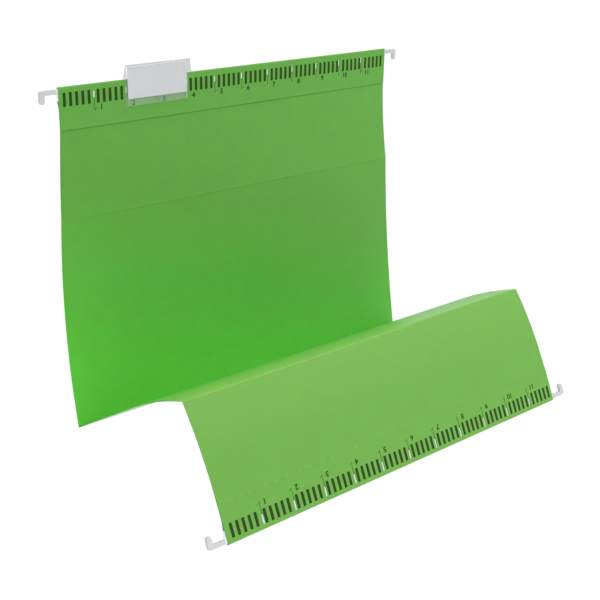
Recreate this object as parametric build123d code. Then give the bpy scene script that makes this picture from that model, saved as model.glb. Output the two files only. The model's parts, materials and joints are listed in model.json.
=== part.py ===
"""Hanging file folder for A4 papers, opened: a creased card sheet, two hook rails and an index tab.

Millimetres. X runs along the back rail, left to right as the inside is seen, Y points away from the
viewer and Z points up. The origin lies midway between the two back hook seats, the undersides of the
back hook arms, where the folder hangs on the rails of a cabinet.
"""
import math
import os

from build123d import *

# Card sheet
SHEET_WIDTH = 316.0
CARD = 0.5
BACK_HEM_DEPTH = 28.5
FRONT_HEM_DEPTH = 25.5
CREASE_DEPTH = 91.0
FOLD_GAP = 0.1

# How the opened sheet hangs: the back half twists a little, so its creases run askew to the rail
CREASE_FORWARD = 0.9
CREASE_SKEW = 5.9
BACK_CREASE_DROP = 90.5
BASE_DROP = 239.9
BASE_FORWARD = 13.5
BASE_SKEW = 11.2
BASE_RISE = 1.8
UPPER_BULGE_LEFT = 0.5
UPPER_BULGE_RIGHT = 1.2
LOWER_BULGE_LEFT = 5.7
LOWER_BULGE_RIGHT = 2.4

# Front half: rises straight from the base fold, curves over, then turns down at the ridge
FRONT_RISE = 30.6
FRONT_STRAIGHT = 87.3
FRONT_CURVE = 62.8
FRONT_CURVE_TURN = 12.9
RIDGE_BEND = 69.7
UPPER_CURVE_TURN = 13.7

# Spare score lines for widening the base, measured up from the base fold
SCORE_HEIGHTS = (9.0, 16.0, 23.0)
SCORE_RADIUS = 0.35
SCORE_DEPTH = 0.06
SCORE_OVERRUN = 2.0

# Rail bar and the tunnel of card round it
RAIL_THICK = 1.0
RAIL_HEIGHT = 8.2
RAIL_CLEAR = 0.1
RAIL_TOP_GAP = 1.0
TUNNEL_DEPTH = 9.6
TUNNEL_TAPER = 5.0
SHOULDER = 1.6

# Hooks
HOOK_REACH = 14.0
HOOK_TOP_GAP = 1.4
ARM_HEIGHT = 3.0
HOOK_THICK = 2.2
HOOK_ROUND = 1.8
TOOTH_WIDTH = 3.7
TOOTH_TIP_WIDTH = 2.6
TOOTH_DROP = 5.5
TENON_LENGTH = 7.0
TENON_HEIGHT = 1.3
SOCKET_CLEAR = 0.05

# Index slots in the hem, each with a slit that ends in a short slanting cut
SLOT_COUNT = 11
SLOT_PITCH = 26.0
SLOT_SHIFT = -0.9
SLOT_WIDTH = 1.5
BACK_SLOT_TOP = 5.0
BACK_SLOT_BOTTOM = 9.4
FRONT_SLOT_TOP = 3.0
FRONT_SLOT_BOTTOM = 10.0
SLIT_WIDTH = 0.6
SLIT_BOTTOM = 17.8
SLANT_REACH = 2.2
SLANT_RISE = 1.6

# Clear index tab, plugged into the slits under slots 2 and 4, and its paper insert
TAB_FIRST_SLOT = 2
TAB_LAST_SLOT = 4
TAB_WALL = 0.4
TAB_CLEAR = 0.1
TAB_ABOVE = 9.6
TAB_BELOW = 18.0
POCKET = 0.5
TAB_MARGIN = 0.4
LENS_INSET = 0.9
LEDGE_BELOW = 13.4
LEFT_EAR_BASE = 2.2
RIGHT_EAR_BASE = 3.4
RIGHT_EAR_TOP = 2.6
EAR_LIFT = 0.6
TONGUE_TOP = 11.5
TONGUE_BOTTOM = 17.0
TONGUE_REACH = 0.6
BARB = 1.0
INSERT_THICK = 0.25
INSERT_HEIGHT = 21.4
INSERT_SIDE_GAP = 0.1

# Derived sizes
HALF_WIDTH = SHEET_WIDTH / 2
FOLD_TOP = ARM_HEIGHT + HOOK_TOP_GAP
TUNNEL_HALF = RAIL_THICK / 2 + RAIL_CLEAR
HEM_HALF = TUNNEL_HALF + CARD
GLUED_FACE = 2 * CARD - HEM_HALF
FIRST_SLOT_X = SLOT_SHIFT - SLOT_PITCH * (SLOT_COUNT - 1) / 2


def polar(length: float, degrees: float) -> Vector:
    """Step of a given length in the Y-Z plane, forward at 0 degrees and up at 90."""
    return Vector(0, -length * math.cos(math.radians(degrees)), length * math.sin(math.radians(degrees)))


def left_of(step: Vector) -> Vector:
    """Unit vector to the left of a step in the Y-Z plane."""
    return Vector(0, -step.Z, step.Y).normalized()


def arc_normal(start: Vector, end: Vector, bulge: float, point: Vector) -> Vector:
    """Left-hand normal, at a point of the curve from start to end, of a strip that bulges to its left."""
    left = left_of(end - start)
    if not bulge:
        return left
    half = (end - start).length / 2
    radius = (half ** 2 + bulge ** 2) / (2 * bulge)
    centre = (start + end) * 0.5 + left * (bulge - radius)
    return (point - centre) * (1 / radius)


def outline(*curves: Wire) -> Wire:
    """One closed wire from curves that follow each other."""
    return Wire([edge for curve in curves for edge in curve.edges()])


def strip_face(*spans: tuple[Vector, Vector, float], thick: float) -> Face:
    """Cross-section of a strip of card along one or more tangent spans, each a start, an end and a bulge.

    The spans run along one face, and the other face lies to their left by the thickness.
    """
    near, far = [], []
    last = None
    for start, end, bulge in spans:
        middle = (start + end) * 0.5 + left_of(end - start) * bulge
        points = [p + arc_normal(start, end, bulge, p) * thick for p in (start, middle, end)]
        points[0] = last or points[0]
        last = points[2]
        near.append(ThreePointArc(start, middle, end) if bulge else Line(start, end))
        far.append(ThreePointArc(*points) if bulge else Line(points[0], points[2]))
    ends = Line(near[-1] @ 1, far[-1] @ 1), Line(far[0] @ 0, near[0] @ 0)
    return Face(outline(*near, ends[0], *reversed(far), ends[1]))


def trimmed(start: Vector, end: Vector, at_start: float, at_end: float) -> tuple[Vector, Vector]:
    """The same strip with a little taken off its ends."""
    step = (end - start).normalized()
    return start + step * at_start, end - step * at_end


def at_x(point: Vector, x: float) -> Vector:
    """The point moved to a station along X."""
    return Vector(x, point.Y, point.Z)


def along_x(face: Face, width: float = SHEET_WIDTH) -> Part:
    """Solid of a section in the Y-Z plane, extruded both ways along X."""
    return extrude(face, amount=width / 2, dir=(1, 0, 0), both=True)


def block(x: tuple, y: tuple, z: tuple) -> Part:
    """Box between pairs of coordinates."""
    size = [abs(pair[1] - pair[0]) for pair in (x, y, z)]
    middle = [(pair[0] + pair[1]) / 2 for pair in (x, y, z)]
    return Pos(*middle) * Box(*size)


def plate(points: list, y: tuple) -> Part:
    """Flat plate with an outline in X and Z, between two Y planes."""
    border = Polyline(*[(px, y[0], pz) for px, pz in points], close=True)
    return extrude(Face(outline(border)), amount=y[1] - y[0], dir=(0, 1, 0))


def slot_x(number: int) -> float:
    """Station of a numbered index slot, counted from the left."""
    return FIRST_SLOT_X + (number - 1) * SLOT_PITCH


# Hem of either half in its rail's own frame: X along the rail, Z out past the fold, index side at -Y

def hem(depth: float, slot_top: float, slot_bottom: float) -> Part:
    """Card turned over the rail and glued down flat to a given depth, with its index slots and slits."""
    out, tunnel, low = HEM_HALF, TUNNEL_HALF, -depth
    taper = TUNNEL_DEPTH + TUNNEL_TAPER
    outside = outline(
        Line((0, -out, low), (0, -out, -HEM_HALF)),
        ThreePointArc((0, -out, -HEM_HALF), (0, 0, 0), (0, out, -HEM_HALF)),
        Polyline((0, out, -HEM_HALF), (0, out, -TUNNEL_DEPTH), (0, GLUED_FACE, -taper)),
        Polyline((0, GLUED_FACE, -taper), (0, GLUED_FACE, low), (0, -out, low)),
    )
    inside = outline(
        Line((0, -tunnel, -taper), (0, -tunnel, -HEM_HALF)),
        ThreePointArc((0, -tunnel, -HEM_HALF), (0, 0, -CARD), (0, tunnel, -HEM_HALF)),
        Polyline((0, tunnel, -HEM_HALF), (0, tunnel, -TUNNEL_DEPTH), (0, -tunnel, -taper)),
    )
    body = along_x(Face(outside, [inside]))
    cuts = []
    front_only, through = (-2 * out, 0), (-2 * out, 2 * out)
    slot, slit = SLOT_WIDTH / 2, SLIT_WIDTH / 2
    for number in range(1, SLOT_COUNT + 1):
        x = slot_x(number)
        cuts.append(block((x - slot, x + slot), front_only, (-slot_bottom, -slot_top)))
        cuts.append(block((x - slit, x + slit), through, (-SLIT_BOTTOM, -slot_bottom)))
        end, tip = -SLIT_BOTTOM, (x + SLANT_REACH, SLANT_RISE - SLIT_BOTTOM)
        slant = [(x - slit, end), tip, (tip[0], tip[1] + SLIT_WIDTH), (x - slit, end + SLIT_WIDTH)]
        cuts.append(plate(slant, through))
    return body - cuts


def rail_bar() -> Part:
    """Flat steel bar in the hem, with a shoulder and a tenon at each end."""
    top, bottom = -RAIL_TOP_GAP, -RAIL_TOP_GAP - RAIL_HEIGHT
    arm_mid = -HOOK_TOP_GAP - ARM_HEIGHT / 2
    arm_low = arm_mid - ARM_HEIGHT / 2
    arm_top = -HOOK_TOP_GAP
    half, end = HALF_WIDTH, HALF_WIDTH + SHOULDER
    tip = end + TENON_LENGTH
    tenon = TENON_HEIGHT / 2
    right = [
        (half, bottom), (end, arm_low), (end, arm_mid - tenon), (tip, arm_mid - tenon),
        (tip, arm_mid + tenon), (end, arm_mid + tenon), (end, arm_top), (half, top),
    ]
    both = right + [(-x, z) for x, z in reversed(right)]
    return plate(both, (-RAIL_THICK / 2, RAIL_THICK / 2))


def edge_at(body: Part, point: Vector) -> Edge:
    """The edge along Y whose middle is nearest to a point."""
    return body.edges().filter_by(Axis.Y).sort_by(lambda edge: (edge.center() - point).length)[0]


def hook(side: int) -> Part:
    """Moulded hook pushed over a tenon of the rail bar: -1 at the low X end, 1 at the high X end."""
    top = -HOOK_TOP_GAP
    low = top - ARM_HEIGHT
    tip = low - TOOTH_DROP
    start, end = HALF_WIDTH + SHOULDER, HALF_WIDTH + HOOK_REACH
    inner, taper = end - TOOTH_WIDTH, (TOOTH_WIDTH - TOOTH_TIP_WIDTH) / 2
    shape = [
        (start, top), (end, top), (end, low - TOOTH_DROP / 2), (end - taper, tip),
        (inner + taper, tip), (inner, low - TOOTH_DROP / 2), (inner, low), (start, low),
    ]
    body = plate([(side * x, z) for x, z in shape], (-HOOK_THICK / 2, HOOK_THICK / 2))
    tips = body.edges().filter_by(Axis.Y).sort_by(Axis.Z)[:2]
    crook = edge_at(body, Vector(side * inner, 0, low))
    body = fillet(list(tips) + [crook], TOOTH_TIP_WIDTH / 2.6)
    body = fillet(edge_at(body, Vector(side * end, 0, top)), HOOK_ROUND)
    socket_half = TENON_HEIGHT / 2 + SOCKET_CLEAR
    middle = top - ARM_HEIGHT / 2
    deep = start + TENON_LENGTH + SOCKET_CLEAR
    wide = RAIL_THICK / 2 + SOCKET_CLEAR
    tall = (middle - socket_half, middle + socket_half)
    return body - block((side * HALF_WIDTH, side * deep), (-wide, wide), tall)


# Back half

BACK_RAIL = Location((0, 0, FOLD_TOP))
HEM_LINE = Vector(0, GLUED_FACE, FOLD_TOP - BACK_HEM_DEPTH)
CREASE_LEFT = Vector(-HALF_WIDTH, -CREASE_FORWARD + CREASE_SKEW, FOLD_TOP - BACK_CREASE_DROP)
CREASE_RIGHT = Vector(HALF_WIDTH, -CREASE_FORWARD - CREASE_SKEW, FOLD_TOP - BACK_CREASE_DROP)
BASE_LEFT = Vector(-HALF_WIDTH, -BASE_FORWARD + BASE_SKEW, FOLD_TOP - BASE_DROP - BASE_RISE)
BASE_RIGHT = Vector(HALF_WIDTH, -BASE_FORWARD - BASE_SKEW, FOLD_TOP - BASE_DROP + BASE_RISE)


def twisted(left: Face, right: Face) -> Part:
    """Sheet of card whose left and right edges are given, straight from one to the other."""
    return loft([left, right], ruled=True)


def back_upper() -> Part:
    """Upper back panel with its hem, down to the back crease."""
    overlap = Vector(0, 0, CARD)
    faces = []
    for crease, bulge in ((CREASE_LEFT, UPPER_BULGE_LEFT), (CREASE_RIGHT, UPPER_BULGE_RIGHT)):
        start = at_x(HEM_LINE + overlap, crease.X)
        faces.append(strip_face((*trimmed(start, crease, 0, FOLD_GAP), bulge), thick=-CARD))
    return BACK_RAIL * hem(BACK_HEM_DEPTH, BACK_SLOT_TOP, BACK_SLOT_BOTTOM) + twisted(*faces)


def base_outer(crease: Vector, base: Vector, bulge: float) -> Vector:
    """Point of the outer face opposite the base fold, which turns on the inner face."""
    normal = arc_normal(crease, base, bulge, base)
    return base + normal * CARD


def back_lower() -> Part:
    """Lower back panel, from the back crease to the base fold, with the spare score lines."""
    edges = ((CREASE_LEFT, BASE_LEFT, LOWER_BULGE_LEFT), (CREASE_RIGHT, BASE_RIGHT, LOWER_BULGE_RIGHT))
    faces = []
    rows = []
    for crease, base, bulge in edges:
        start, end = trimmed(crease, base_outer(crease, base, bulge), FOLD_GAP, FOLD_GAP)
        faces.append(strip_face((start, end, bulge), thick=-CARD))
        rows.append([score_point(start, end, bulge, height) for height in SCORE_HEIGHTS])
    body = twisted(*faces)
    for left, right in zip(*rows):
        body -= score(left, right)
    return body


def score_point(start: Vector, end: Vector, bulge: float, height: float) -> Vector:
    """Axis of a score's round groove, over the inner face a given way up from the strip's end."""
    chord = end - start
    share = 1 - height / chord.length
    rise = 4 * bulge * share * (1 - share)
    left = left_of(chord)
    return start + chord * share + left * (rise - CARD - SCORE_RADIUS + SCORE_DEPTH)


def score(left: Vector, right: Vector) -> Part:
    """Round cutter along a score line."""
    line = right - left
    turn = Plane(origin=(left + right) * 0.5, z_dir=line)
    return turn.location * Cylinder(SCORE_RADIUS, line.length + 2 * SCORE_OVERRUN)


# Front half in the base fold's own frame: X along the fold, Y back, Z up

BASE_AXIS = (BASE_RIGHT - BASE_LEFT).normalized()
BASE_FRAME = Plane(
    origin=(BASE_LEFT + BASE_AXIS * HALF_WIDTH),
    x_dir=BASE_AXIS,
    z_dir=Vector(0, 0, 1) - BASE_AXIS * BASE_AXIS.Z,
).location
KNEE = polar(FRONT_STRAIGHT, FRONT_RISE)
RIDGE_INNER = KNEE + polar(FRONT_CURVE, FRONT_RISE - FRONT_CURVE_TURN / 2)
FRONT_CURVE_BULGE = -FRONT_CURVE / 2 * math.tan(math.radians(FRONT_CURVE_TURN / 4))
RIDGE = RIDGE_INNER + arc_normal(KNEE, RIDGE_INNER, FRONT_CURVE_BULGE, RIDGE_INNER) * CARD
RIDGE_HEADING = FRONT_RISE - FRONT_CURVE_TURN - RIDGE_BEND
UPPER_CURVE = CREASE_DEPTH - FRONT_HEM_DEPTH
UPPER_CURVE_BULGE = -UPPER_CURVE / 2 * math.tan(math.radians(UPPER_CURVE_TURN / 4))
HEM_HEADING = RIDGE_HEADING - UPPER_CURVE_TURN
FRONT_HEM_LINE = RIDGE + polar(UPPER_CURVE, RIDGE_HEADING - UPPER_CURVE_TURN / 2)
FRONT_OUT = polar(1, HEM_HEADING)
FRONT_BACK = left_of(FRONT_OUT)
FRONT_RAIL = Plane(
    origin=FRONT_HEM_LINE + FRONT_OUT * FRONT_HEM_DEPTH - FRONT_BACK * GLUED_FACE,
    x_dir=(-1, 0, 0),
    z_dir=FRONT_OUT,
).location


def front_lower() -> Part:
    """Lower front panel, from the base fold over its curve to the ridge, with the spare score lines."""
    origin = Vector(0, 0, 0)
    straight = (*trimmed(origin, KNEE, FOLD_GAP, 0), 0.0)
    curve = (*trimmed(KNEE, RIDGE_INNER, 0, FOLD_GAP), FRONT_CURVE_BULGE)
    body = along_x(strip_face(straight, curve, thick=CARD))
    over = left_of(KNEE) * (SCORE_DEPTH - SCORE_RADIUS)
    for height in SCORE_HEIGHTS:
        at = polar(height, FRONT_RISE) + over
        body -= score(at_x(at, -HALF_WIDTH), at_x(at, HALF_WIDTH))
    return BASE_FRAME * body


def front_upper() -> Part:
    """Upper front panel, from the ridge to its hem."""
    overlap = FRONT_OUT * CARD
    curve = (*trimmed(RIDGE, FRONT_HEM_LINE + overlap, FOLD_GAP, 0), UPPER_CURVE_BULGE)
    panel = along_x(strip_face(curve, thick=-CARD))
    turned_over = hem(FRONT_HEM_DEPTH, FRONT_SLOT_TOP, FRONT_SLOT_BOTTOM)
    return BASE_FRAME * (panel + FRONT_RAIL * turned_over)


# Index tab in the back rail's frame

def index_tab() -> Part:
    """Clear pocket in front of the hem, with ears above the fold and tongues through two slits."""
    left, right = slot_x(TAB_FIRST_SLOT), slot_x(TAB_LAST_SLOT)
    low_x, high_x = left - TAB_MARGIN, right + TAB_MARGIN
    leaf = (-HEM_HALF - TAB_CLEAR - TAB_WALL, -HEM_HALF - TAB_CLEAR)
    lens = (leaf[0] - POCKET - TAB_WALL, leaf[0] - POCKET)
    shape = [
        (low_x, -TAB_BELOW), (high_x, -TAB_BELOW), (high_x, EAR_LIFT), (high_x + RIGHT_EAR_BASE, EAR_LIFT),
        (high_x + RIGHT_EAR_TOP, TAB_ABOVE), (low_x, TAB_ABOVE),
        (low_x - LEFT_EAR_BASE, EAR_LIFT), (low_x, EAR_LIFT),
    ]
    body = plate(shape, leaf)
    wide = (low_x + LENS_INSET, high_x - LENS_INSET)
    body += block(wide, lens, (-TAB_BELOW, TAB_ABOVE))
    body += block(wide, (lens[0], leaf[1]), (TAB_ABOVE - TAB_WALL, TAB_ABOVE))
    body += block(wide, (lens[0], leaf[1]), (-LEDGE_BELOW - TAB_WALL, -LEDGE_BELOW))
    for x, outward in ((left, -1), (right, 1)):
        thin = TAB_WALL / 2
        reach = HEM_HALF + TONGUE_REACH
        body += block((x - thin, x + thin), (leaf[0], reach), (-TONGUE_BOTTOM, -TONGUE_TOP))
        barb = (x - outward * thin, x + outward * (thin + BARB))
        body += block(barb, (reach - TAB_WALL, reach), (-TONGUE_BOTTOM, -TONGUE_TOP))
    return BACK_RAIL * body


def tab_insert() -> Part:
    """White paper slip in the tab's pocket, standing on its ledge."""
    gap = (POCKET - INSERT_THICK) / 2
    back = -HEM_HALF - TAB_CLEAR - TAB_WALL - gap
    low_x = slot_x(TAB_FIRST_SLOT) - TAB_MARGIN + LENS_INSET + INSERT_SIDE_GAP
    high_x = slot_x(TAB_LAST_SLOT) + TAB_MARGIN - LENS_INSET - INSERT_SIDE_GAP
    low = -LEDGE_BELOW + SOCKET_CLEAR
    return BACK_RAIL * block((low_x, high_x), (back - INSERT_THICK, back), (low, low + INSERT_HEIGHT))


def build() -> dict[str, Part]:
    """Every piece of the folder by name, where it lies."""
    front_rail = BASE_FRAME * FRONT_RAIL
    return {
        "back_upper_panel": back_upper(),
        "back_lower_panel": back_lower(),
        "front_lower_panel": front_lower(),
        "front_upper_panel": front_upper(),
        "back_rail_bar": BACK_RAIL * rail_bar(),
        "back_left_hook": BACK_RAIL * hook(-1),
        "back_right_hook": BACK_RAIL * hook(1),
        "front_rail_bar": front_rail * rail_bar(),
        "front_left_hook": front_rail * hook(1),
        "front_right_hook": front_rail * hook(-1),
        "index_tab": index_tab(),
        "tab_insert": tab_insert(),
    }


os.makedirs("parts", exist_ok=True)
for name, piece in build().items():
    export_step(piece, f"parts/{name}.step")
    box = piece.bounding_box()
    print(name, len(piece.solids()), round(piece.volume, 1), box.min, box.max)
ridge_line = BASE_FRAME * Location(RIDGE)
print("base fold at", BASE_FRAME.position, "along", BASE_AXIS)
print("ridge at", ridge_line.position)
print("front rail at", (BASE_FRAME * FRONT_RAIL).position)
print("back crease from", CREASE_LEFT, "to", CREASE_RIGHT)
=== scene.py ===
"""Looks of an opened hanging file folder: dyed card, pressed creases, index print, hooks and a clear tab.

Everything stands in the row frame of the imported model, in metres. Sizes of print, card and finishes are
written in millimetres, and one function turns them to metres.
"""

import json
import logging
import math
from dataclasses import dataclass
from enum import Enum

import bmesh
import bpy
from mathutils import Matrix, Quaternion, Vector


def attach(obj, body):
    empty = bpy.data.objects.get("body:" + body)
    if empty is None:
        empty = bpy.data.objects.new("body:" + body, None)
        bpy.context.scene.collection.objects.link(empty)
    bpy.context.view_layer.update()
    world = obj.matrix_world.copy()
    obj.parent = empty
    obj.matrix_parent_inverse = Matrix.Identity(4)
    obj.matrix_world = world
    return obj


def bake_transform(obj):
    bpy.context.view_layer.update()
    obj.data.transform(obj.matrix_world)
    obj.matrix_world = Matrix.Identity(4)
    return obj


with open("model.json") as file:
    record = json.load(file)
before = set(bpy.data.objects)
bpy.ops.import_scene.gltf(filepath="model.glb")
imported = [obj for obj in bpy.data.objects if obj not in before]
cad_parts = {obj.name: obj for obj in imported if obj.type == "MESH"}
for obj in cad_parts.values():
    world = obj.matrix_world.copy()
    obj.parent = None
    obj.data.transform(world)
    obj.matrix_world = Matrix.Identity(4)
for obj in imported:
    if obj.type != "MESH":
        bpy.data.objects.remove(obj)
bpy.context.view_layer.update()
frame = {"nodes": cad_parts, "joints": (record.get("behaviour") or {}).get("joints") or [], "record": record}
LOG = logging.getLogger("folder")
SHARP_DEGREES = 40.0


def mm(length: float) -> float:
    """Metres of a length in millimetres."""
    return length / 1000.0


def linear(hex_colour: str) -> tuple[float, float, float, float]:
    """Linear colour of an sRGB hex value.

    Args:
        hex_colour: Six hex digits after a hash sign.

    Returns:
        Red, green and blue in linear light, and full alpha.
    """
    channels = [int(hex_colour[i:i + 2], 16) / 255.0 for i in (1, 3, 5)]
    red, green, blue = (c / 12.92 if c <= 0.04045 else ((c + 0.055) / 1.055) ** 2.4 for c in channels)
    return red, green, blue, 1.0


def add_node(
    tree: bpy.types.NodeTree,
    kind: str,
    settings: dict[str | int, object] | None = None,
    links: dict[str | int, bpy.types.NodeSocket] | None = None,
) -> bpy.types.Node:
    """Adds a shader node with its settings and links.

    Args:
        tree: Node tree of the material or world.
        kind: Blender's name of the node type.
        settings: Values by property name, or by the name or number of an input.
        links: Output sockets by the name or number of the input that they feed.

    Returns:
        The new node.
    """
    made = tree.nodes.new(kind)
    for key, value in (settings or {}).items():
        if isinstance(key, str) and hasattr(made, key):
            setattr(made, key, value)
        else:
            made.inputs[key].default_value = value
    for key, socket in (links or {}).items():
        tree.links.new(socket, made.inputs[key])
    return made


def empty_material(name: str) -> bpy.types.Material:
    """New material with a bare node tree.

    Args:
        name: Name of the material.

    Returns:
        The material, without any node.
    """
    material = bpy.data.materials.new(name)
    material.use_nodes = True
    material.node_tree.nodes.clear()
    return material


def millimetres(tree: bpy.types.NodeTree) -> bpy.types.NodeSocket:
    """Place on the piece at rest, for patterns to follow.

    Args:
        tree: Node tree of the material.

    Returns:
        Socket that gives the place in millimetres.
    """
    place = add_node(tree, "ShaderNodeTexCoord")
    scaled = add_node(
        tree, "ShaderNodeVectorMath", {"operation": "SCALE", "Scale": 1000.0}, {0: place.outputs["Object"]}
    )
    return scaled.outputs["Vector"]


@dataclass(frozen=True)
class DyedCard:
    """Uncoated manila card, dyed through and calendered: matt, faintly clouded, with short fibres on it.

    Its sideways faces are painted darker, as shade. A second tone can grow along an axis as painted light:
    paler where more light falls, a clearer green where green light bounces and shines through.
    """

    name: str = "dyed manila card, calendered"
    light: str = "#67AC45"
    dark: str = "#64A743"
    fibre: str = "#6EB44D"
    # Painted shade: sideways faces darker, against the light that shows along the thin edges
    edge: str = "#559039"
    second: str = "#94C464"
    second_axis: tuple[float, float, float] = (0.0, 0.0, 1.0)
    second_mm: tuple[float, float] = (0.0, 1.0)
    second_share: float = 0.0
    roughness: float = 0.55
    specular: float = 0.3
    matt_spread: float = 0.08
    cloud_mm: float = 16.0
    cloud_roughness: float = 0.6
    fibre_long_mm: float = 2.4
    fibre_wide_mm: float = 0.5
    fibre_range: tuple[float, float] = (0.58, 0.78)
    fibre_share: float = 0.55
    fibre_height_mm: float = 0.05
    fibre_strength: float = 0.35
    swell_mm: float = 90.0
    swell_height_mm: float = 0.5
    edge_range: tuple[float, float] = (0.6, 0.9)
    edge_most: float = 0.8
    glow_mm: tuple[float, float, float] = (0.05, 0.8, 0.04)

    def make(self) -> bpy.types.Material:
        """Builds the card's material.

        Returns:
            Material whose fibres are drawn a few times coarser than life, to show from a step away.
        """
        material = empty_material(self.name)
        tree = material.node_tree
        place = millimetres(tree)
        cloud = add_node(
            tree,
            "ShaderNodeTexNoise",
            {"Scale": 1 / self.cloud_mm, "Detail": 3.0, "Roughness": self.cloud_roughness},
            {"Vector": place},
        )
        stretch = add_node(
            tree,
            "ShaderNodeMapping",
            {"Scale": (1 / self.fibre_long_mm, 1 / self.fibre_wide_mm, 1 / self.fibre_wide_mm)},
            {"Vector": place},
        )
        fibres = add_node(
            tree, "ShaderNodeTexNoise", {"Scale": 1.0, "Detail": 4.0}, {"Vector": stretch.outputs[0]}
        )
        swell = add_node(
            tree, "ShaderNodeTexNoise", {"Scale": 1 / self.swell_mm, "Detail": 1.0}, {"Vector": place}
        )
        clouded = add_node(
            tree,
            "ShaderNodeMix",
            {"data_type": "RGBA", 6: linear(self.dark), 7: linear(self.light)},
            {0: cloud.outputs["Fac"]},
        )
        strands = add_node(
            tree,
            "ShaderNodeMapRange",
            {"From Min": self.fibre_range[0], "From Max": self.fibre_range[1], "To Max": self.fibre_share},
            {"Value": fibres.outputs["Fac"]},
        )
        fibred = add_node(
            tree,
            "ShaderNodeMix",
            {"data_type": "RGBA", 7: linear(self.fibre)},
            {0: strands.outputs[0], 6: clouded.outputs[2]},
        )
        # Side faces mixed toward the darker edge colour: painted shade
        edged = add_node(
            tree,
            "ShaderNodeMix",
            {"data_type": "RGBA", 7: linear(self.edge)},
            {0: self.edge_shade_share(tree), 6: fibred.outputs[2]},
        )
        # Second tone along an axis: painted light, paler where more light falls, greener where green light
        # bounces
        along = add_node(
            tree, "ShaderNodeVectorMath", {"operation": "DOT_PRODUCT", 1: self.second_axis}, {0: place}
        )
        toned = add_node(
            tree,
            "ShaderNodeMapRange",
            {"From Min": self.second_mm[0], "From Max": self.second_mm[1], "To Max": self.second_share},
            {"Value": along.outputs["Value"]},
        )
        shown = add_node(
            tree,
            "ShaderNodeMix",
            {"data_type": "RGBA", 7: linear(self.second)},
            {0: toned.outputs[0], 6: edged.outputs[2]},
        )
        matt = add_node(
            tree,
            "ShaderNodeMapRange",
            {"To Min": self.roughness - self.matt_spread, "To Max": self.roughness + self.matt_spread},
            {"Value": fibres.outputs["Fac"]},
        )
        wave = add_node(
            tree,
            "ShaderNodeBump",
            {"Strength": 1.0, "Distance": mm(self.swell_height_mm)},
            {"Height": swell.outputs["Fac"]},
        )
        tooth = add_node(
            tree,
            "ShaderNodeBump",
            {"Strength": self.fibre_strength, "Distance": mm(self.fibre_height_mm)},
            {"Height": fibres.outputs["Fac"], "Normal": wave.outputs[0]},
        )
        shader = add_node(
            tree,
            "ShaderNodeBsdfPrincipled",
            {
                "Specular IOR Level": self.specular,
                "Subsurface Weight": 1.0,
                "Subsurface Radius": self.glow_mm,
                "Subsurface Scale": mm(1),
            },
            {"Base Color": shown.outputs[2], "Roughness": matt.outputs[0], "Normal": tooth.outputs[0]},
        )
        add_node(tree, "ShaderNodeOutputMaterial", None, {"Surface": shader.outputs[0]})
        return material

    def edge_shade_share(self, tree: bpy.types.NodeTree) -> bpy.types.NodeSocket:
        """How far a face is a side edge of the sheet, where painted shade darkens it.

        Args:
            tree: Node tree of the material.

        Returns:
            Share from 0 to 1.
        """
        place = add_node(tree, "ShaderNodeTexCoord")
        split = add_node(tree, "ShaderNodeSeparateXYZ", None, {0: place.outputs["Normal"]})
        sideways = add_node(tree, "ShaderNodeMath", {"operation": "ABSOLUTE"}, {0: split.outputs["X"]})
        share = add_node(
            tree,
            "ShaderNodeMapRange",
            {"From Min": self.edge_range[0], "From Max": self.edge_range[1], "To Max": self.edge_most},
            {"Value": sideways.outputs[0]},
        )
        return share.outputs[0]


@dataclass(frozen=True)
class Speckled:
    """Opaque finish with a soft two-tone mottle and a fine grain: ink, paint, moulded plastic, plain paper.

    The grain stands for the tooth of the surface, spark-eroded, sprayed or milled, and is drawn coarse
    enough to show.
    """

    name: str
    light: str
    dark: str
    roughness: float
    mottle_mm: float
    grain_mm: float
    grain_height_mm: float
    specular: float = 0.5
    matt_spread: float = 0.07
    grain_strength: float = 0.4

    def make(self) -> bpy.types.Material:
        """Builds the finish's material.

        Returns:
            Material of the finish.
        """
        material = empty_material(self.name)
        tree = material.node_tree
        place = millimetres(tree)
        mottle = add_node(
            tree, "ShaderNodeTexNoise", {"Scale": 1 / self.mottle_mm, "Detail": 3.0}, {"Vector": place}
        )
        grain = add_node(
            tree, "ShaderNodeTexNoise", {"Scale": 1 / self.grain_mm, "Detail": 2.0}, {"Vector": place}
        )
        colour = add_node(
            tree,
            "ShaderNodeMix",
            {"data_type": "RGBA", 6: linear(self.dark), 7: linear(self.light)},
            {0: mottle.outputs["Fac"]},
        )
        matt = add_node(
            tree,
            "ShaderNodeMapRange",
            {"To Min": self.roughness - self.matt_spread, "To Max": self.roughness + self.matt_spread},
            {"Value": grain.outputs["Fac"]},
        )
        tooth = add_node(
            tree,
            "ShaderNodeBump",
            {"Strength": self.grain_strength, "Distance": mm(self.grain_height_mm)},
            {"Height": grain.outputs["Fac"]},
        )
        shader = add_node(
            tree,
            "ShaderNodeBsdfPrincipled",
            {"Specular IOR Level": self.specular},
            {"Base Color": colour.outputs[2], "Roughness": matt.outputs[0], "Normal": tooth.outputs[0]},
        )
        add_node(tree, "ShaderNodeOutputMaterial", None, {"Surface": shader.outputs[0]})
        return material


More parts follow.
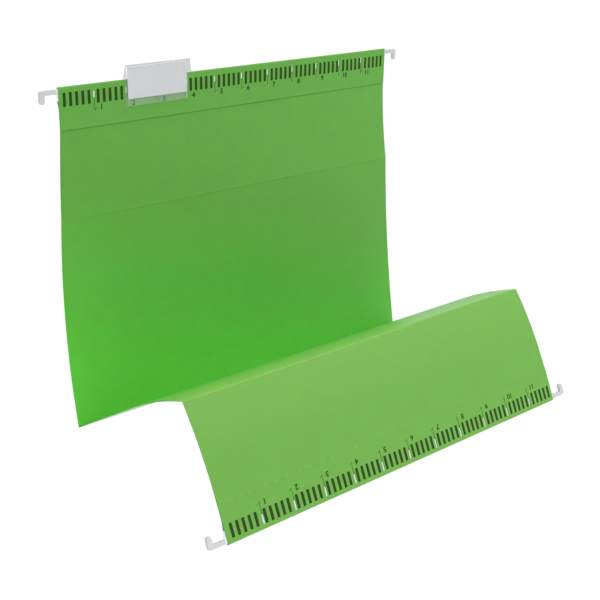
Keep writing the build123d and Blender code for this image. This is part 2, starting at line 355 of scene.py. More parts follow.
@dataclass(frozen=True)
class ClearVinyl:
    """Clear rigid vinyl, extruded and die-cut: a thin see-through film with gloss and a pale haze.

    The haze is greyer and denser on the ears and the top fold, and denser on the cut edges.
    """

    name: str = "clear rigid vinyl, extruded"
    film: str = "#F4F6F8"
    ear: str = "#B4B7BA"
    film_haze: float = 0.02
    ear_haze: float = 0.42
    edge_haze: float = 0.6
    middle_mm: float = -78.9
    half_lens_mm: float = 25.6
    ears_above_mm: float = 4.2
    fold_above_mm: float = 12.5
    fold_share: float = 0.8
    blur_mm: float = 0.4
    rim_range: tuple[float, float] = (0.4, 0.9)
    smear_range: tuple[float, float] = (0.85, 1.15)
    specular: float = 0.2
    mirror_share: tuple[float, float] = (0.03, 0.7)
    mirror_power: float = 5.0
    roughness: float = 0.12
    smear_mm: float = 4.0

    def make(self) -> bpy.types.Material:
        """Builds the clear plastic's material.

        Returns:
            Material that lets what lies behind show through its haze and gloss.
        """
        material = empty_material(self.name)
        tree = material.node_tree
        place = millimetres(tree)
        smear = add_node(
            tree, "ShaderNodeTexNoise", {"Scale": 1 / self.smear_mm, "Detail": 4.0}, {"Vector": place}
        )
        gloss = add_node(
            tree,
            "ShaderNodeMapRange",
            {"To Min": self.roughness, "To Max": 2 * self.roughness},
            {"Value": smear.outputs["Fac"]},
        )
        ears = self.ear_share(tree, place)
        colour = add_node(
            tree, "ShaderNodeMix", {"data_type": "RGBA", 6: linear(self.film), 7: linear(self.ear)}, {0: ears}
        )
        body = add_node(
            tree,
            "ShaderNodeBsdfPrincipled",
            {"Specular IOR Level": self.specular},
            {"Base Color": colour.outputs[2], "Roughness": gloss.outputs[0]},
        )
        clear = add_node(tree, "ShaderNodeBsdfTransparent")
        film = add_node(
            tree,
            "ShaderNodeMixShader",
            None,
            {0: self.haze_share(tree, ears, smear.outputs["Fac"]), 1: clear.outputs[0], 2: body.outputs[0]},
        )
        shine = add_node(tree, "ShaderNodeBsdfGlossy", None, {"Roughness": gloss.outputs[0]})
        # The film doesn't bend the view, so its mirror share has to be the same from inside and outside
        slant = add_node(tree, "ShaderNodeLayerWeight", {"Blend": 0.5})
        steep = add_node(
            tree, "ShaderNodeMath", {"operation": "POWER", 1: self.mirror_power}, {0: slant.outputs["Facing"]}
        )
        mirror = add_node(
            tree,
            "ShaderNodeMapRange",
            {"To Min": self.mirror_share[0], "To Max": self.mirror_share[1]},
            {"Value": steep.outputs[0]},
        )
        shown = add_node(
            tree, "ShaderNodeMixShader", None, {0: mirror.outputs[0], 1: film.outputs[0], 2: shine.outputs[0]}
        )
        add_node(tree, "ShaderNodeOutputMaterial", None, {"Surface": shown.outputs[0]})
        return material

    def ear_share(self, tree: bpy.types.NodeTree, place: bpy.types.NodeSocket) -> bpy.types.NodeSocket:
        """How far a place on the tab belongs to its ears or its top fold.

        Args:
            tree: Node tree of the material.
            place: Place on the tab, in millimetres.

        Returns:
            Share from 0 to 1.
        """
        spot = add_node(tree, "ShaderNodeSeparateXYZ", None, {0: place})
        aside = add_node(
            tree, "ShaderNodeMath", {"operation": "SUBTRACT", 1: self.middle_mm}, {0: spot.outputs["X"]}
        )
        away = add_node(tree, "ShaderNodeMath", {"operation": "ABSOLUTE"}, {0: aside.outputs[0]})
        steps = [
            add_node(
                tree,
                "ShaderNodeMapRange",
                {"From Min": start, "From Max": start + self.blur_mm, "To Max": most},
                {"Value": value},
            )
            for start, most, value in (
                (self.half_lens_mm, 1.0, away.outputs[0]),
                (self.ears_above_mm, 1.0, spot.outputs["Z"]),
                (self.fold_above_mm, self.fold_share, spot.outputs["Z"]),
            )
        ]
        outside, high, fold = (step.outputs[0] for step in steps)
        ears = add_node(tree, "ShaderNodeMath", {"operation": "MULTIPLY"}, {0: outside, 1: high})
        both = add_node(tree, "ShaderNodeMath", {"operation": "MAXIMUM"}, {0: ears.outputs[0], 1: fold})
        return both.outputs[0]

    def haze_share(
        self, tree: bpy.types.NodeTree, ears: bpy.types.NodeSocket, smear: bpy.types.NodeSocket
    ) -> bpy.types.NodeSocket:
        """How much of the film is haze rather than clear.

        Args:
            tree: Node tree of the material.
            ears: Share of the ears at a place.
            smear: Noise of finger marks.

        Returns:
            Share from 0 to 1.
        """
        flat_haze = add_node(
            tree, "ShaderNodeMapRange", {"To Min": self.film_haze, "To Max": self.ear_haze}, {"Value": ears}
        )
        facing = add_node(tree, "ShaderNodeTexCoord")
        turned = add_node(tree, "ShaderNodeSeparateXYZ", None, {0: facing.outputs["Normal"]})
        flat = add_node(tree, "ShaderNodeMath", {"operation": "ABSOLUTE"}, {0: turned.outputs["Y"]})
        rim = add_node(
            tree,
            "ShaderNodeMapRange",
            {
                "From Min": self.rim_range[0], "From Max": self.rim_range[1],
                "To Min": self.edge_haze, "To Max": 0.0,
            },
            {"Value": flat.outputs[0]},
        )
        denser = add_node(
            tree, "ShaderNodeMath", {"operation": "MAXIMUM"}, {0: flat_haze.outputs[0], 1: rim.outputs[0]}
        )
        uneven = add_node(
            tree,
            "ShaderNodeMapRange",
            {"To Min": self.smear_range[0], "To Max": self.smear_range[1]},
            {"Value": smear},
        )
        share = add_node(
            tree, "ShaderNodeMath", {"operation": "MULTIPLY"}, {0: denser.outputs[0], 1: uneven.outputs[0]}
        )
        return share.outputs[0]


# Front half: painted lighter and yellower for the stronger light it gets, and painted paler still toward the
# ridge as a highlight
FRONT_CARD = DyedCard(
    "dyed manila card, painted lighter toward the ridge",
    light="#73B14C",
    dark="#70AC4A",
    fibre="#7AB853",
    second_axis=(-0.0114, 0.0, 1.0),
    second_mm=(-200.0, -165.0),
    second_share=0.2,
    glow_mm=(0.05, 0.2, 0.04),
)
# Back half: painted a clearer green toward the base, standing in for the green light bounced and shone
# through there
BACK_CARD_PAINTED_GREEN_LIGHT = DyedCard(
    "dyed manila card, painted greener toward the base",
    second="#65C544",
    second_axis=(-0.25, 0.0, -1.0),
    second_mm=(100.0, 230.0),
    second_share=1.0,
)
# Strip between base and ridge: smooth enough to mirror pale surroundings; painted a deeper green for the
# green light bounced into the valley, and painted paler close to the ridge as a highlight
RIDGE_CARD = DyedCard(
    "dyed manila card, pressed smooth",
    light="#66BC45",
    dark="#63B743",
    fibre="#6DC24C",
    roughness=0.42,
    specular=0.42,
    second="#8CC65C",
    second_axis=(-0.0114, 0.0, 1.0),
    second_mm=(-178.0, -166.0),
    second_share=1.0,
)
# Painted shadow: dark hairline below the glued end of the back hem
HEM_SHADOW_CARD = DyedCard("dyed manila card, painted shadow below the hem end", light="#437A2A", dark="#3D7026", fibre="#4A8230")
# Pale lines along the ridge, the lips of the slits and the end of the front hem: painted highlights where
# these edges catch light, at the ridge partly wear
WEAR_AND_HIGHLIGHT_CARD = DyedCard(
    "dyed manila card, worn and painted highlight", light="#8DC463", dark="#84BC5A", fibre="#9ACD72"
)
# Flat dark green bars and numbers without shine
INK = Speckled(
    "matt offset ink on card",
    light="#2E4A18",
    dark="#253F13",
    roughness=0.7,
    mottle_mm=3.0,
    grain_mm=0.5,
    grain_height_mm=0.01,
    specular=0.15,
)
# Bright glints of the bars through the slots
STEEL_PAINT = Speckled(
    "white stoved paint on steel strip",
    light="#F2F3F4",
    dark="#EAEBED",
    roughness=0.4,
    mottle_mm=8.0,
    grain_mm=0.8,
    grain_height_mm=0.01,
)
# Light grey hooks with a weak sheen
HOOK_PLASTIC = Speckled(
    "light grey polystyrene, moulded",
    light="#CECFD1",
    dark="#C4C5C8",
    roughness=0.5,
    mottle_mm=6.0,
    grain_mm=0.6,
    grain_height_mm=0.02,
    specular=0.3,
)
# Slip: white paper painted grey as shade for the light that the film takes from it, slightly bluish
SLIP_PAPER = Speckled(
    "white bond paper, uncoated",
    light="#D4D4D9",
    dark="#CECED4",
    roughness=0.85,
    mottle_mm=5.0,
    grain_mm=0.7,
    grain_height_mm=0.02,
    specular=0.25,
)
# Even white that also lights the folder from below
FLOOR_PAPER = Speckled(
    "matt white backdrop paper",
    light="#FFFFFF",
    dark="#FCFCFB",
    roughness=0.9,
    mottle_mm=400.0,
    grain_mm=60.0,
    grain_height_mm=0.05,
    specular=0.1,
)


class Side(Enum):
    """Half of the folder."""

    BACK = "back"
    FRONT = "front"


def new_piece(name: str, form: bmesh.types.BMesh, material: bpy.types.Material) -> bpy.types.Object:
    """Turns a finished mesh form into a piece in the scene.

    Args:
        name: Name of the piece.
        form: Mesh under construction, which is freed.
        material: Finish of the piece.

    Returns:
        The piece, at the row's origin.
    """
    bmesh.ops.recalc_face_normals(form, faces=form.faces)
    mesh = bpy.data.meshes.new(name)
    form.to_mesh(mesh)
    form.free()
    mesh.materials.append(material)
    piece = bpy.data.objects.new(name, mesh)
    bpy.context.scene.collection.objects.link(piece)
    LOG.info("%s: %d faces", name, len(mesh.polygons))
    return piece


def smooth(piece: bpy.types.Object, degrees: float) -> None:
    """Shades a piece smooth across edges that turn less than the angle."""
    piece.data.polygons.foreach_set("use_smooth", [True] * len(piece.data.polygons))
    piece.data.set_sharp_from_angle(angle=math.radians(degrees))


def dress_node(name: str, material: bpy.types.Material) -> bpy.types.Object:
    """Gives a CAD node its finish.

    Args:
        name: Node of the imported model.
        material: Finish that it gets.

    Returns:
        The node's object.
    """
    piece = frame["nodes"][name]
    piece.data.materials.clear()
    piece.data.materials.append(material)
    LOG.info("%s: %s", name, material.name)
    return piece


def round_edges(piece: bpy.types.Object, radius_mm: float) -> None:
    """Rounds the sharp edges of a piece as a mould or die leaves them.

    Args:
        piece: Piece to round.
        radius_mm: Radius of the rounding.
    """
    bevel = piece.modifiers.new("rounded edges", "BEVEL")
    bevel.width = mm(radius_mm)
    bevel.segments = 3
    bevel.limit_method = "ANGLE"
    bevel.angle_limit = math.radians(SHARP_DEGREES)
    bevel.harden_normals = False


def mount(name: str) -> tuple[Vector, Vector]:
    """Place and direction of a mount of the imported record."""
    found = next(m for m in frame["record"]["mounts"] if m["name"] == name)
    return Vector(found["pos_m"]), Vector(found["axis"]).normalized()


def joint(name: str) -> tuple[Vector, Vector]:
    """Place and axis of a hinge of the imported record."""
    found = next(j for j in frame["joints"] if j["name"] == name)
    return Vector(found["pos_m"]), Vector(found["axis"]).normalized()


@dataclass(frozen=True)
class HemFace:
    """Index side of one hem, with places given by a distance along it and a depth from its fold."""

    side: Side
    seat_depth_mm: float = 4.4
    face_mm: float = 1.1

    @property
    def body(self) -> str:
        """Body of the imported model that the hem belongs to."""
        return {Side.BACK: "back_frame", Side.FRONT: "front_upper"}[self.side]

    @property
    def axes(self) -> tuple[Vector, Vector, Vector]:
        """Directions of the hem.

        Returns:
            Along the hem to the viewer's right, inward from its fold, and out of its index face.
        """
        left, inward = mount(f"{self.side.value}_left_hook_seat")
        right, _ = mount(f"{self.side.value}_right_hook_seat")
        _, outward = mount(f"{self.side.value}_index_slots")
        return (right - left).normalized(), inward, outward

    @property
    def origin(self) -> Vector:
        """Middle of the fold's outer edge.

        Returns:
            Point in the row frame, in metres.
        """
        left, inward = mount(f"{self.side.value}_left_hook_seat")
        right, _ = mount(f"{self.side.value}_right_hook_seat")
        return (left + right) / 2 - inward * mm(self.seat_depth_mm)

    def point(self, along_mm: float, depth_mm: float, lift_mm: float = 0.0) -> Vector:
        """Place on the index face.

        Args:
            along_mm: Distance to the viewer's right of the middle.
            depth_mm: Distance inward from the fold.
            lift_mm: Height above the face.

        Returns:
            Point in the row frame, in metres.
        """
        along, inward, outward = self.axes
        out = self.face_mm + lift_mm
        return self.origin + along * mm(along_mm) + inward * mm(depth_mm) + outward * mm(out)

    def add_plate(
        self, form: bmesh.types.BMesh, corners: list[tuple[float, float, float]], thick_mm: float
    ) -> None:
        """Adds a thin plate to a mesh form.

        Args:
            form: Mesh under construction.
            corners: Distance along, depth and lift of each corner of its upper face, in order.
            thick_mm: How far the plate goes down into the hem.
        """
        over = [form.verts.new(self.point(x, depth, lift)) for x, depth, lift in corners]
        under = [form.verts.new(self.point(x, depth, lift - thick_mm)) for x, depth, lift in corners]
        form.faces.new(over)
        form.faces.new(list(reversed(under)))
        for k in range(len(corners)):
            form.faces.new((over[k], over[k - 1], under[k - 1], under[k]))

    def finish_piece(self, name: str, form: bmesh.types.BMesh, material: bpy.types.Material) -> None:
        """Turns a mesh form into a piece that moves with the hem.

        Args:
            name: What the piece is called after the hem's side.
            form: Mesh under construction, which is freed.
            material: Finish of the piece.
        """
        piece = new_piece(f"{self.side.value}_{name}", form, material)
        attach(piece, self.body)


@dataclass(frozen=True)
class IndexPrint:
    """Printed index row of one hem: groups of short bars, and a number past each slot."""

    hem: HemFace
    shift_mm: float
    bar_from_mm: float
    bar_to_mm: float
    number_shift_mm: float
    upside_down: bool = False
    skew: float = 0.0
    groups: int = 12
    bars_per_group: int = 5
    group_pitch_mm: float = 26.2
    bar_pitch_mm: float = 4.75
    bar_width_mm: float = 2.25
    corner_mm: float = 0.25
    number_depth_mm: float = 16.6
    number_height_mm: float = 3.85
    number_squeeze: float = 1.08
    number_weight: float = 0.03
    ink_mm: float = 0.02
    ink_above_mm: float = 0.01

    @property
    def first_bar_mm(self) -> float:
        """Station of the first bar's middle."""
        span = (self.groups - 1) * self.group_pitch_mm + (self.bars_per_group - 1) * self.bar_pitch_mm
        return self.shift_mm - span / 2

    def build(self, ink: bpy.types.Material) -> None:
        """Prints the row, its bars as one piece and its numbers as another."""
        self.bars(ink)
        self.numbers(ink)

    def point(self, along_mm: float, depth_mm: float, lift_mm: float) -> Vector:
        """Place on the hem, with the print's slight skew."""
        return self.hem.point(along_mm, depth_mm + self.skew * along_mm, lift_mm)

    def bars(self, ink: bpy.types.Material) -> None:
        """Prints all bars of the row as thin films of ink.

        Args:
            ink: Finish of the print.
        """
        form = bmesh.new()
        for group in range(self.groups):
            for bar in range(self.bars_per_group):
                away = group * self.group_pitch_mm + bar * self.bar_pitch_mm
                self.add_bar(form, self.first_bar_mm + away)
        self.hem.finish_piece("index_bars", form, ink)

    def add_bar(self, form: bmesh.types.BMesh, middle_mm: float) -> None:
        """Adds one bar with clipped corners to a mesh form.

        Args:
            form: Mesh under construction.
            middle_mm: Station of its middle along the hem.
        """
        half, cut = self.bar_width_mm / 2, self.corner_mm
        rows = [
            (self.bar_from_mm, half - cut), (self.bar_from_mm + cut, half),
            (self.bar_to_mm - cut, half), (self.bar_to_mm, half - cut),
        ]
        sheets = []
        for lift in (self.ink_above_mm, self.ink_above_mm + self.ink_mm):
            sheets.append([
                [form.verts.new(self.point(middle_mm + end * wide, depth, lift)) for end in (-1, 1)]
                for depth, wide in rows
            ])
        under, over = sheets
        for sheet in sheets:
            for above, below in zip(sheet, sheet[1:]):
                form.faces.new((*above, *reversed(below)))
        for k in range(len(rows) - 1):
            for end in (0, 1):
                form.faces.new((under[k][end], under[k + 1][end], over[k + 1][end], over[k][end]))
        for k in (0, -1):
            form.faces.new((*under[k], *reversed(over[k])))

    def numbers(self, ink: bpy.types.Material) -> None:
        """Prints all numbers of the row, from 1 at the viewer's left.

        Args:
            ink: Finish of the print.
        """
        form = bmesh.new()
        for number in range(1, self.groups):
            middle = self.first_bar_mm + number * self.group_pitch_mm + self.number_shift_mm
            self.add_number(form, str(number), middle)
        self.hem.finish_piece("index_numbers", form, ink)

    def add_number(self, form: bmesh.types.BMesh, text: str, middle_mm: float) -> None:
        """Adds one number, as a thin film of ink, to a mesh form.

        Args:
            form: Mesh under construction.
            text: Digits of the number.
            middle_mm: Station of its middle along the hem.
        """
        curve = bpy.data.curves.new("digits", "FONT")
        curve.body = text
        curve.resolution_u = 3
        curve.extrude = 0.5
        curve.offset = self.number_weight
        shown = bpy.data.objects.new("digits", curve)
        glyphs = bpy.data.meshes.new_from_object(shown)
        xs = [v.co.x for v in glyphs.vertices]
        ys = [v.co.y for v in glyphs.vertices]
        scale = self.number_height_mm / (max(ys) - min(ys))
        turn = -1 if self.upside_down else 1
        new = {}
        for v in glyphs.vertices:
            across = turn * (v.co.x - (min(xs) + max(xs)) / 2) * scale * self.number_squeeze
            down = -(v.co.y - (min(ys) + max(ys)) / 2) * scale
            lift = self.ink_above_mm + self.ink_mm * (v.co.z + curve.extrude)
            place = self.point(middle_mm + across, self.number_depth_mm + down, lift)
            new[v.index] = form.verts.new(place)
        for polygon in glyphs.polygons:
            form.faces.new([new[i] for i in polygon.vertices])
        bpy.data.objects.remove(shown)
        bpy.data.curves.remove(curve)
        bpy.data.meshes.remove(glyphs)


@dataclass(frozen=True)
class SlitEdges:
    """What the die leaves at a hem's slits: a closed cut, a lip along it and a tick at its slanting end."""

    hem: HemFace
    first_depth_mm: float
    slot_shift_mm: float
    plugged: tuple[int, ...] = ()
    slots: int = 11
    slot_pitch_mm: float = 26.0
    last_depth_mm: float = 17.8
    slit_half_mm: float = 0.35
    sunk_mm: float = 0.45
    backing_mm: float = 0.35
    backing_reach_mm: float = 0.3
    backing_from_mm: float = 0.3
    slant_mm: tuple[float, float] = (2.2, 1.6)
    lip_width_mm: float = 0.5
    lip_rise_mm: float = 0.12
    lip_overlap_mm: float = 0.05
    lip_inset_mm: tuple[float, float] = (1.2, 1.9)
    lip_thick_mm: float = 0.1
    flush_mm: float = 0.02
    tick_width_mm: float = 0.8
    tick_rise_mm: float = 0.3
    tick_below_mm: float = 0.1
    tick_left_mm: tuple[float, float] = (-1.2, -0.4)
    tick_past_mm: float = 0.2

    def build(self, card: bpy.types.Material, wear_and_highlight: bpy.types.Material) -> None:
        """Closes the cuts from within and raises their lips.

        Args:
            card: Finish of the card inside the cuts.
            wear_and_highlight: Finish of the lips and ticks, painted pale as highlights where they catch
                light.
        """
        inside, lips = bmesh.new(), bmesh.new()
        turn = -1 if self.hem.side is Side.FRONT else 1
        for slot in range(1, self.slots + 1):
            if slot not in self.plugged:
                middle = self.slot_shift_mm + (slot - (self.slots + 1) / 2) * self.slot_pitch_mm
                self.add_backing(inside, middle, turn)
                self.add_lips(lips, middle, turn)
        self.hem.finish_piece("slit_backing", inside, card)
        self.hem.finish_piece("slit_lips", lips, wear_and_highlight)

    def add_backing(self, form: bmesh.types.BMesh, middle_mm: float, turn: int) -> None:
        """Adds the card behind one slit and its slanting end.

        Args:
            form: Mesh under construction.
            middle_mm: Station of the slit along the hem.
            turn: 1 on the back hem, whose slits slant to the viewer's right, and -1 on the front one.
        """
        half, low = self.slit_half_mm + self.backing_reach_mm, -self.sunk_mm
        first = self.first_depth_mm + self.backing_from_mm
        last = self.last_depth_mm + self.backing_reach_mm
        straight = [(-half, first), (half, first), (half, last), (-half, last)]
        reach, rise = self.slant_mm
        end = reach + self.backing_reach_mm
        slant = [(half, last), (end, last - rise), (end, last - rise - 2 * half), (half, last - 2 * half)]
        for outline in (straight, slant):
            corners = [(middle_mm + turn * x, depth, low) for x, depth in outline]
            self.hem.add_plate(form, corners, self.backing_mm)

    def add_lips(self, form: bmesh.types.BMesh, middle_mm: float, turn: int) -> None:
        """Adds the lip along one slit and, on the back, the tick under its slanting end.

        Args:
            form: Mesh under construction.
            middle_mm: Station of the slit along the hem.
            turn: 1 on the back hem, -1 on the front one.
        """
        flush = self.flush_mm
        near, far = self.slit_half_mm - self.lip_overlap_mm, self.slit_half_mm + self.lip_width_mm
        first, last = self.first_depth_mm + self.lip_inset_mm[0], self.last_depth_mm - self.lip_inset_mm[1]
        outlines = [[(near, first, flush), (near, last, self.lip_rise_mm), (far, last, flush)]]
        if turn > 0:
            reach, rise = self.slant_mm
            low, wide = self.last_depth_mm + self.tick_below_mm, self.tick_width_mm
            outlines.append([
                (self.tick_left_mm[0], low + wide / 2, flush),
                (reach, low - rise, self.tick_rise_mm),
                (reach + self.tick_past_mm, low - rise + wide, flush),
                (self.tick_left_mm[1], low + wide, flush),
            ])
        for outline in outlines:
            corners = [(middle_mm + x, depth, lift) for x, depth, lift in outline]
            self.hem.add_plate(form, corners, self.lip_thick_mm)


@dataclass(frozen=True)
class HemEdge:
    """Glued end of a hem's turned-over card, which runs out onto the panel in a pressed ramp."""

    hem: HemFace
    depth_mm: float
    ramp_mm: float
    half_length_mm: float = 157.8
    stations: int = 33
    card_mm: float = 0.5
    thick_mm: float = 0.3
    far_thick_mm: float = 0.1
    overlap_mm: float = 0.3
    lift_mm: float = 0.01
    sunk_mm: float = 0.03
    dash_from_mm: float = -152.0
    dash_pitch_mm: float = 9.5
    dash_long_mm: float = 5.0
    dash_wide_mm: float = 0.45
    dash_lift_mm: tuple[float, float] = (0.03, 0.12)
    dash_past_mm: float = 0.1
    dash_thick_mm: float = 0.15
    dash_wander_mm: float = 1.5
    dash_share: tuple[float, float] = (0.75, 0.35)
    dash_fade: float = 0.4

    def ramp(self, card: bpy.types.Material) -> None:
        """Builds the ramp from the hem's face down to the panel.

        Args:
            card: Finish of the ramp.
        """
        form = bmesh.new()
        _, _, outward = self.hem.axes
        panel = frame["nodes"][f"{self.hem.side.value}_upper_panel"]
        rings = []
        for k in range(self.stations):
            along = self.half_length_mm * (2 * k / (self.stations - 1) - 1)
            near = self.hem.point(along, self.depth_mm - self.overlap_mm, self.lift_mm)
            guess = self.hem.point(along, self.depth_mm + self.ramp_mm, -self.card_mm)
            _, far, _, _ = panel.closest_point_on_mesh(guess)
            far = far - outward * mm(self.sunk_mm)
            under = (far - outward * mm(self.far_thick_mm), near - outward * mm(self.thick_mm))
            rings.append([form.verts.new(p) for p in (near, far, *under)])
        for ring, following in zip(rings, rings[1:]):
            for i in range(len(ring)):
                form.faces.new((ring[i - 1], ring[i], following[i], following[i - 1]))
        form.faces.new(rings[0])
        form.faces.new(list(reversed(rings[-1])))
        self.hem.finish_piece("hem_edge", form, card)

    def dashes(self, count: int, wear_and_highlight: bpy.types.Material) -> None:
        """Builds a row of pale dashes along the end of the hem: painted highlights where its edge catches
        light.

        Args:
            count: Number of dashes, from the viewer's left.
            wear_and_highlight: Finish of the dashes, painted pale as highlights.
        """
        form = bmesh.new()
        edge = self.depth_mm + self.dash_past_mm
        sides = list(zip((edge - self.dash_wide_mm / 2, edge + self.dash_wide_mm / 2), self.dash_lift_mm))
        for k in range(count):
            # Lengths and places wander a little, by a fixed pattern
            start = self.dash_from_mm + k * self.dash_pitch_mm + self.dash_wander_mm * math.sin(2.4 * k)
            share = self.dash_share[0] + self.dash_share[1] * math.sin(1.7 * k + 1.0)
            end = start + self.dash_long_mm * share * (1 - self.dash_fade * k / count)
            corners = [(start, *sides[0]), (end, *sides[0]), (end, *sides[1]), (start, *sides[1])]
            self.hem.add_plate(form, corners, self.dash_thick_mm)
        self.hem.finish_piece("hem_edge_highlights", form, wear_and_highlight)


@dataclass(frozen=True)
class Crease:
    """Pressed fold of the card between two panels.

    It fills the seam between the panels, rounds the outside of the fold and can stand up as a bead. The
    round can carry a pale line, a painted highlight and partly wear, from the viewer's left as far as a given
    station.
    """

    name: str
    hinge: str
    upper: tuple[str, str]
    lower: tuple[str, str]
    toward_upper: Vector
    toward_lower: Vector
    hinge_side: Vector
    bead_mm: float = 0.0
    highlight_to_mm: float = -math.inf
    half_length_mm: float = 158.0
    half_width_mm: float = 1.6
    narrow_share: float = 0.6
    card_mm: float = 0.5
    proud_mm: float = 0.02
    sunk_mm: float = 0.06
    bead_half_mm: float = 0.45
    probe_mm: tuple[float, float] = (4.0, 0.4)
    stations: int = 65
    round_steps: int = 8
    smooth_degrees: float = 50.0
    far_shares: tuple[float, ...] = (0.6, 0.42, 0.3, 0.2, 0.1)

    def build(self, card: bpy.types.Material, wear_and_highlight: bpy.types.Material) -> None:
        """Builds the crease in the seam between its two panels.

        Args:
            card: Finish of the card at the fold.
            wear_and_highlight: Finish of the pale line on it, a painted highlight.
        """
        form = bmesh.new()
        rings = []
        place, axis = joint(self.hinge)
        rightward = math.copysign(1.0, axis.x)
        places = [self.half_length_mm * (2 * k / (self.stations - 1) - 1) for k in range(self.stations)]
        for along in places:
            rings.append([form.verts.new(p) for p in self.section(mm(along))])
        for along, ring, following in zip(places, rings, rings[1:]):
            reached = rightward * along < self.highlight_to_mm
            for i in range(len(ring)):
                side = form.faces.new((ring[i - 1], ring[i], following[i], following[i - 1]))
                side.material_index = int(reached and i in self.highlight_sides)
        form.faces.new(rings[0])
        form.faces.new(list(reversed(rings[-1])))
        piece = new_piece(self.name, form, card)
        piece.data.materials.append(wear_and_highlight)
        smooth(piece, self.smooth_degrees)
        up, down = self.directions(0.0)
        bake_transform(piece)

    @property
    def highlight_sides(self) -> range:
        """Sides of the outline on the round of the fold.

        Returns:
            Numbers of the points that those sides end at.
        """
        # Five points of the hinge face, one at the far face's end and the shares come before the round
        first = 5 + 1 + len(self.far_shares)
        return range(first, first + self.round_steps + 2)

    def directions(self, along: float) -> tuple[Vector, Vector]:
        """Directions in which the two panels leave the fold, drawn evenly from one end to the other.

        Args:
            along: Distance from the hinge's middle, in metres.

        Returns:
            Directions of the upper and the lower panel.
        """
        reach = mm(self.half_length_mm - self.probe_mm[0])
        share = (along / reach + 1) / 2
        first, last = self.end_directions(-reach), self.end_directions(reach)
        up, down = (a.lerp(b, share).normalized() for a, b in zip(first, last))
        return up, down

    def end_directions(self, along: float) -> tuple[Vector, Vector]:
        """Directions in which the two panels leave the fold at a station, read off their faces.

        Args:
            along: Distance from the hinge's middle, in metres.

        Returns:
            Directions of the upper and the lower panel.
        """
        place, axis = joint(self.hinge)
        start = place + axis * along
        found = []
        for (_, node), toward in ((self.upper, self.toward_upper), (self.lower, self.toward_lower)):
            guess = (toward - place).normalized()
            probe = start + guess * mm(self.probe_mm[0]) + self.hinge_side * mm(self.probe_mm[1])
            _, touch, _, _ = frame["nodes"][node].closest_point_on_mesh(probe)
            leave = touch - start
            found.append((leave - axis * leave.dot(axis)).normalized())
        return found[0], found[1]

    def section(self, along: float) -> list[Vector]:
        """Outline of the crease at a station along its hinge.

        Args:
            along: Distance from the hinge's middle, in metres.

        Returns:
            Points of the closed outline, in the row frame.
        """
        place, axis = joint(self.hinge)
        hinge = place + axis * along
        up, down = self.directions(along)
        into = []
        for leave in (up, down):
            through = axis.cross(leave).normalized()
            into.append(through if through.dot(self.hinge_side) < 0 else -through)
        wide, narrow = mm(self.half_width_mm), mm(self.half_width_mm) * self.narrow_share
        proud, sunk, card = mm(self.proud_mm), mm(self.sunk_mm), mm(self.card_mm)
        hinge_face = [
            hinge + up * wide + into[0] * sunk,
            hinge + up * narrow - into[0] * proud,
            hinge - (into[0] + into[1]).normalized() * proud,
            hinge + down * narrow - into[1] * proud,
            hinge + down * wide + into[1] * sunk,
        ]
        far_face = [hinge + down * wide + into[1] * (card - sunk)]
        far_face += [hinge + down * wide * s + into[1] * self.far_height(wide * s) for s in self.far_shares]
        for k in range(self.round_steps + 1):
            turned = into[1].slerp(into[0], k / self.round_steps)
            far_face.append(hinge + turned * self.far_height(0.0))
        shares = reversed(self.far_shares)
        far_face += [hinge + up * wide * s + into[0] * self.far_height(wide * s) for s in shares]
        far_face.append(hinge + up * wide + into[0] * (card - sunk))
        return hinge_face + far_face

    def far_height(self, away: float) -> float:
        """Height of the far face over the hinge face, at a distance from the fold, in metres."""
        bead = mm(self.bead_mm) * math.exp(-((away / mm(self.bead_half_mm)) ** 2))
        return mm(self.card_mm) + mm(self.proud_mm) + bead


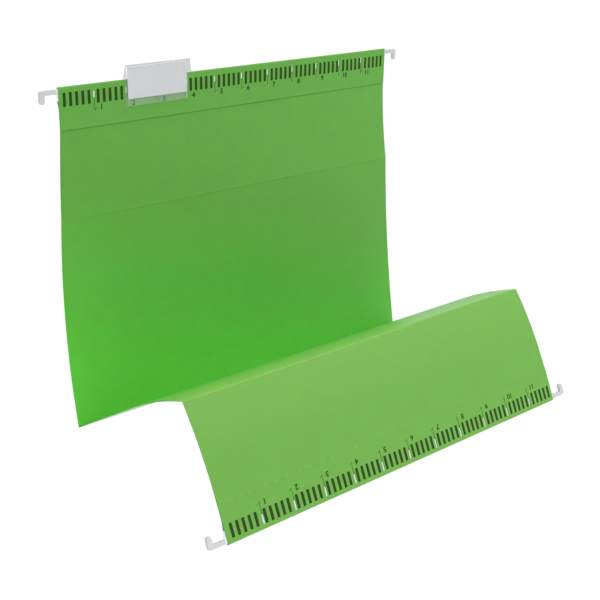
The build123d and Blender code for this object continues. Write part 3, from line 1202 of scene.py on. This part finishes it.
@dataclass(frozen=True)
class CardSheet:
    """The one sheet of card: its four panels, three creases, two printed rows and the edges of its slits."""

    panels: tuple[str, ...] = (
        "back_upper_panel",
        "back_lower_panel",
        "front_lower_panel",
        "front_upper_panel",
    )
    smooth_degrees: float = 20.0

    def build(self) -> None:
        """Dresses the panels and adds what the CAD leaves to the looks."""
        card, front_card_painted_lighter, wear_and_highlight = BACK_CARD_PAINTED_GREEN_LIGHT.make(), FRONT_CARD.make(), WEAR_AND_HIGHLIGHT_CARD.make()
        shaded, ink = HEM_SHADOW_CARD.make(), INK.make()
        for name, finish in zip(self.panels, (card, card, RIDGE_CARD.make(), front_card_painted_lighter)):
            smooth(dress_node(name, finish), self.smooth_degrees)
        back, front = HemFace(Side.BACK), HemFace(Side.FRONT)
        IndexPrint(
            back, shift_mm=-0.4, bar_from_mm=4.5, bar_to_mm=13.6, number_shift_mm=2.4, skew=0.0047
        ).build(ink)
        IndexPrint(
            front, shift_mm=0.5, bar_from_mm=3.3, bar_to_mm=12.6, number_shift_mm=2.0, upside_down=True
        ).build(ink)
        SlitEdges(back, first_depth_mm=9.4, slot_shift_mm=-0.9, plugged=(2, 4)).build(card, wear_and_highlight)
        SlitEdges(front, first_depth_mm=10.0, slot_shift_mm=0.9).build(front_card_painted_lighter, wear_and_highlight)
        # The back hem's short ramp is painted dark: a painted shadow line below its glued end
        HemEdge(back, depth_mm=28.5, ramp_mm=0.4).ramp(shaded)
        edge = HemEdge(front, depth_mm=25.5, ramp_mm=8.0)
        edge.ramp(front_card_painted_lighter)
        edge.dashes(12, wear_and_highlight)
        for crease in self.creases(back, front):
            crease.build(front_card_painted_lighter if crease.hinge == "front_crease" else card, wear_and_highlight)

    def creases(self, back: HemFace, front: HemFace) -> list[Crease]:
        """The three creases, from the back hem to the front one.

        Args:
            back: Hem that the upper back panel ends in.
            front: Hem that the upper front panel ends in.

        Returns:
            Creases that are yet to be built.
        """
        hinges = ("back_crease", "base_fold", "front_crease")
        bodies = ("back_frame", "back_lower", "front_lower", "front_upper")
        # Rough directions out of the face of the card that each hinge lies in
        sides = (Vector((0, 1, 0)), Vector((0, -0.5, 0.87)), Vector((0, 0.2, -0.98)))
        stops = [back.origin, *[joint(h)[0] for h in hinges], front.origin]
        beads = (0.25, 0.0, 0.0)
        highlight_to = (-math.inf, -math.inf, 40.0)
        return [
            Crease(
                f"{hinge}_fold", hinge, (bodies[k], self.panels[k]), (bodies[k + 1], self.panels[k + 1]),
                stops[k], stops[k + 2], sides[k], bead_mm=beads[k], highlight_to_mm=highlight_to[k],
            )
            for k, hinge in enumerate(hinges)
        ]


@dataclass(frozen=True)
class HookRail:
    """Steel bar in a hem, with a moulded hook on each end."""

    side: Side
    bar_edge_mm: float = 0.15
    hook_edge_mm: float = 0.4

    def build(self, paint: bpy.types.Material, plastic: bpy.types.Material) -> None:
        """Dresses the bar and its hooks.

        Args:
            paint: Finish of the bar.
            plastic: Finish of the hooks.
        """
        round_edges(dress_node(f"{self.side.value}_rail_bar", paint), self.bar_edge_mm)
        for end in ("left", "right"):
            round_edges(dress_node(f"{self.side.value}_{end}_hook", plastic), self.hook_edge_mm)


@dataclass(frozen=True)
class IndexTab:
    """Clear index tab and the paper slip in it."""

    edge_mm: float = 0.08

    def build(self) -> None:
        """Dresses the tab and its slip."""
        round_edges(dress_node("index_tab", ClearVinyl().make()), self.edge_mm)
        dress_node("tab_insert", SLIP_PAPER.make())


@dataclass(frozen=True)
class Studio:
    """Pale floor, soft light and the camera at the photograph's viewing angle."""

    floor_below: float = 0.85
    floor_size: float = 60.0
    dome: float = 0.6
    key: float = 1.75
    key_spread_degrees: float = 80.0
    key_tilt_degrees: tuple[float, float] = (25.0, 15.0)
    eye: tuple[float, float, float] = (-0.5446, -0.61276, 0.12249)
    gaze: tuple[float, float, float] = (0.66191, 0.6652, -0.34553)
    roll_degrees: float = 1.06
    lens: float = 65.893

    def build(self) -> None:
        """Sets the stage round the folder."""
        self.floor()
        self.lights()
        self.camera()

    def floor(self) -> None:
        """Lays the floor well below the hanging folder."""
        form = bmesh.new()
        bmesh.ops.create_grid(form, x_segments=1, y_segments=1, size=self.floor_size / 2)
        floor = new_piece("floor", form, FLOOR_PAPER.make())
        floor.location.z = -self.floor_below

    def lights(self) -> None:
        """Lights the folder with an even dome and one broad, soft lamp from above the viewer."""
        world = bpy.data.worlds.new("studio dome")
        bpy.context.scene.world = world
        world.use_nodes = True
        world.node_tree.nodes.clear()
        glow = add_node(
            world.node_tree, "ShaderNodeBackground", {"Color": (1.0, 1.0, 1.0, 1.0), "Strength": self.dome}
        )
        add_node(world.node_tree, "ShaderNodeOutputWorld", None, {"Surface": glow.outputs[0]})
        lamp = bpy.data.lights.new("soft key", "SUN")
        lamp.energy = self.key
        lamp.angle = math.radians(self.key_spread_degrees)
        shown = bpy.data.objects.new("soft key", lamp)
        tilt, turn = self.key_tilt_degrees
        shown.rotation_euler = (math.radians(tilt), 0.0, math.radians(turn))
        bpy.context.scene.collection.objects.link(shown)

    def camera(self) -> None:
        """Places the camera and takes true colours."""
        scene = bpy.context.scene
        scene.view_settings.view_transform = "Standard"
        data = bpy.data.cameras.new("viewer")
        data.lens = self.lens
        data.clip_end = self.floor_size
        shown = bpy.data.objects.new("viewer", data)
        shown.location = self.eye
        shown.rotation_mode = "QUATERNION"
        level = Vector(self.gaze).to_track_quat("-Z", "Y")
        shown.rotation_quaternion = level @ Quaternion((0, 0, 1), math.radians(self.roll_degrees))
        scene.collection.objects.link(shown)
        scene.camera = shown


def main() -> None:
    """Dresses the folder piece by piece."""
    logging.basicConfig(level=logging.INFO, format="%(name)s: %(message)s")
    CardSheet().build()
    paint, plastic = STEEL_PAINT.make(), HOOK_PLASTIC.make()
    for side in Side:
        HookRail(side).build(paint, plastic)
    IndexTab().build()
    Studio().build()


if __name__ == "__main__":
    main()
